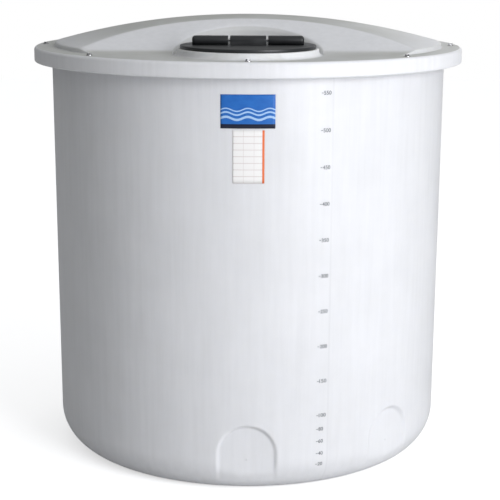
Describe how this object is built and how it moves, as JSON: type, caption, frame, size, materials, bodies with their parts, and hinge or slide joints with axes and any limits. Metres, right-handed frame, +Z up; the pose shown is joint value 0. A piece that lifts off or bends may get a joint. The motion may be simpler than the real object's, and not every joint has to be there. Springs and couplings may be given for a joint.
{
  "type": "vertical storage tank",
  "caption": "Upright cylindrical open-top tank in milky moulded plastic, with a rounded foot, a rolled rim, a bolted domed lid and a hinged black manway cover.",
  "frame": {"origin": "centre of the flat bottom, on the floor", "axes": "+Z up along the tank's axis; the manway, the scale and the first fitting flat face -Y; +X is to the right seen from the front"},
  "size_m": [1.556, 1.556, 1.5835],
  "materials": {
    "milky_plastic": "natural milky polyethylene, satin with fine orange peel",
    "black_plastic": "satin black moulded plastic",
    "bright_steel": "bright stainless steel"
  },
  "bodies": {
    "tank": {"tank_floor": "milky_plastic", "foot_segment_1": "milky_plastic", "foot_segment_2": "milky_plastic", "foot_segment_3": "milky_plastic", "foot_segment_4": "milky_plastic", "foot_segment_5": "milky_plastic", "foot_segment_6": "milky_plastic", "foot_segment_7": "milky_plastic", "foot_segment_8": "milky_plastic", "foot_segment_9": "milky_plastic", "foot_segment_10": "milky_plastic", "wall_segment_1": "milky_plastic", "wall_segment_2": "milky_plastic", "wall_segment_3": "milky_plastic", "wall_segment_4": "milky_plastic", "wall_segment_5": "milky_plastic", "wall_segment_6": "milky_plastic", "wall_segment_7": "milky_plastic", "wall_segment_8": "milky_plastic", "wall_segment_9": "milky_plastic", "wall_segment_10": "milky_plastic", "fitting_flat_1": "milky_plastic", "fitting_flat_2": "milky_plastic", "fitting_flat_3": "milky_plastic", "fitting_flat_4": "milky_plastic", "tank_rim": "milky_plastic", "lid_flange": "milky_plastic", "lid_skirt": "milky_plastic", "lid_dome": "milky_plastic", "lid_facet_left": "milky_plastic", "lid_facet_right": "milky_plastic", "lid_shelf": "milky_plastic", "recess_wall": "milky_plastic", "manway_neck": "milky_plastic", "cover_leaf_rear": "black_plastic", "hinge_knuckle_left": "black_plastic", "hinge_knuckle_right": "black_plastic", "hinge_pin": "bright_steel", "lid_screw_1": "bright_steel", "lid_screw_2": "bright_steel", "lid_screw_3": "bright_steel", "lid_screw_4": "bright_steel", "lid_screw_5": "bright_steel", "lid_screw_6": "bright_steel", "lid_screw_7": "bright_steel", "lid_screw_8": "bright_steel"},
    "cover_front": {"cover_leaf_front": "black_plastic", "hinge_knuckle_middle": "black_plastic"}
  },
  "joints": [
    {"name": "cover_hinge", "type": "hinge", "parent": "tank", "child": "cover_front", "pos_m": [0, -0.475, 1.5243], "axis": [-1, 0, 0], "range_deg": [0, 110]}
  ]
}
